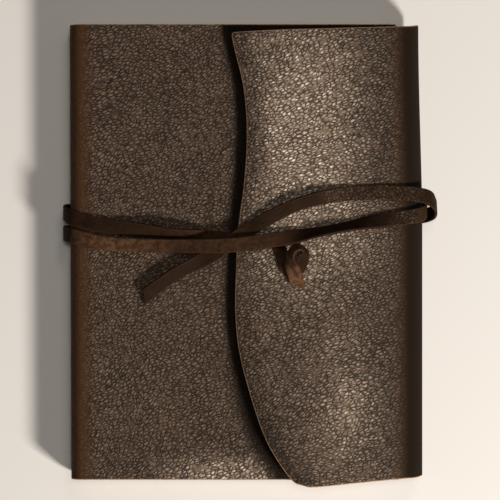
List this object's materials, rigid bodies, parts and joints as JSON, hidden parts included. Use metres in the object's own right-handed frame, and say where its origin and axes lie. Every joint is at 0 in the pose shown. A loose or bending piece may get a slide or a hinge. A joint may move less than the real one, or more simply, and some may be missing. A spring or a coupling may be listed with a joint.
{
  "type": "leather notebook cover",
  "caption": "Refillable notebook cover in soft pebbled leather with a wrap-over flap and a flat leather lace wound round it, holding a sewn page block.",
  "frame": {"origin": "middle of the whole footprint, on the surface that the notebook lies on", "axes": "+X from the spine to the fore-edge, +Y from the tail to the head of the book, +Z out of the front cover"},
  "size_m": [0.179, 0.22, 0.0307],
  "materials": {
    "cover_leather": "semi-gloss pebbled grain",
    "sleeve_leather": "matte smooth",
    "lace_leather": "matte",
    "page_paper": "matte uncoated",
    "board": "matte paper-covered",
    "lining_cloth": "matte open weave"
  },
  "bodies": {
    "back": {"back_cover_leather": "cover_leather", "spine_back_fold": "cover_leather", "fore_edge_back_fold": "cover_leather", "back_sleeve": "sleeve_leather", "refill_back_board": "board", "refill_spine_lining": "lining_cloth", "signature_1": "page_paper", "signature_2": "page_paper", "signature_3": "page_paper", "signature_4": "page_paper", "lace_under_back_upper": "lace_leather", "lace_under_back_lower": "lace_leather", "lace_first_turn": "lace_leather", "lace_second_turn": "lace_leather", "lace_last_turn": "lace_leather"},
    "pages": {"signature_5": "page_paper", "signature_6": "page_paper", "signature_7": "page_paper", "signature_8": "page_paper"},
    "spine": {"spine_leather": "cover_leather", "spine_front_fold": "cover_leather", "refill_spine_strip": "board"},
    "front": {"front_cover_leather": "cover_leather", "front_sleeve": "sleeve_leather", "refill_front_board": "board"},
    "fore_edge": {"fore_edge_leather": "cover_leather", "flap_fold": "cover_leather"},
    "flap": {"flap_leather": "cover_leather", "lace_knot": "lace_leather"}
  },
  "joints": [
    {"name": "fore_edge_open", "type": "hinge", "parent": "back", "child": "fore_edge", "pos_m": [0.07997, 0, 0.00394], "axis": [0, 1, 0], "range_deg": [0, 85], "deforming": ["fore_edge_back_fold", "lace_first_turn", "lace_second_turn", "lace_last_turn"]},
    {"name": "flap_open", "type": "hinge", "parent": "fore_edge", "child": "flap", "pos_m": [0.07997, 0, 0.02176], "axis": [0, 1, 0], "range_deg": [0, 85], "deforming": ["flap_fold", "flap_leather", "lace_knot"]},
    {"name": "spine_open", "type": "hinge", "parent": "back", "child": "spine", "pos_m": [-0.08377, 0, 0.00352], "axis": [0, -1, 0], "range_deg": [0, 90], "deforming": ["spine_back_fold"]},
    {"name": "cover_open", "type": "hinge", "parent": "spine", "child": "front", "pos_m": [-0.08377, 0, 0.01873], "axis": [0, -1, 0], "range_deg": [0, 90], "deforming": ["spine_front_fold"]},
    {"name": "pages_turn", "type": "hinge", "parent": "back", "child": "pages", "pos_m": [-0.08189, 0, 0.01112], "axis": [0, -1, 0], "range_deg": [0, 180], "deforming": ["refill_spine_lining"]}
  ],
  "couplings": [
    {"joint": "flap_open", "follows": "fore_edge_open", "ratio": 1},
    {"joint": "spine_open", "follows": "fore_edge_open", "ratio": 1.0588},
    {"joint": "cover_open", "follows": "fore_edge_open", "ratio": 1.0588},
    {"joint": "pages_turn", "follows": "fore_edge_open", "ratio": 2.1176}
  ]
}
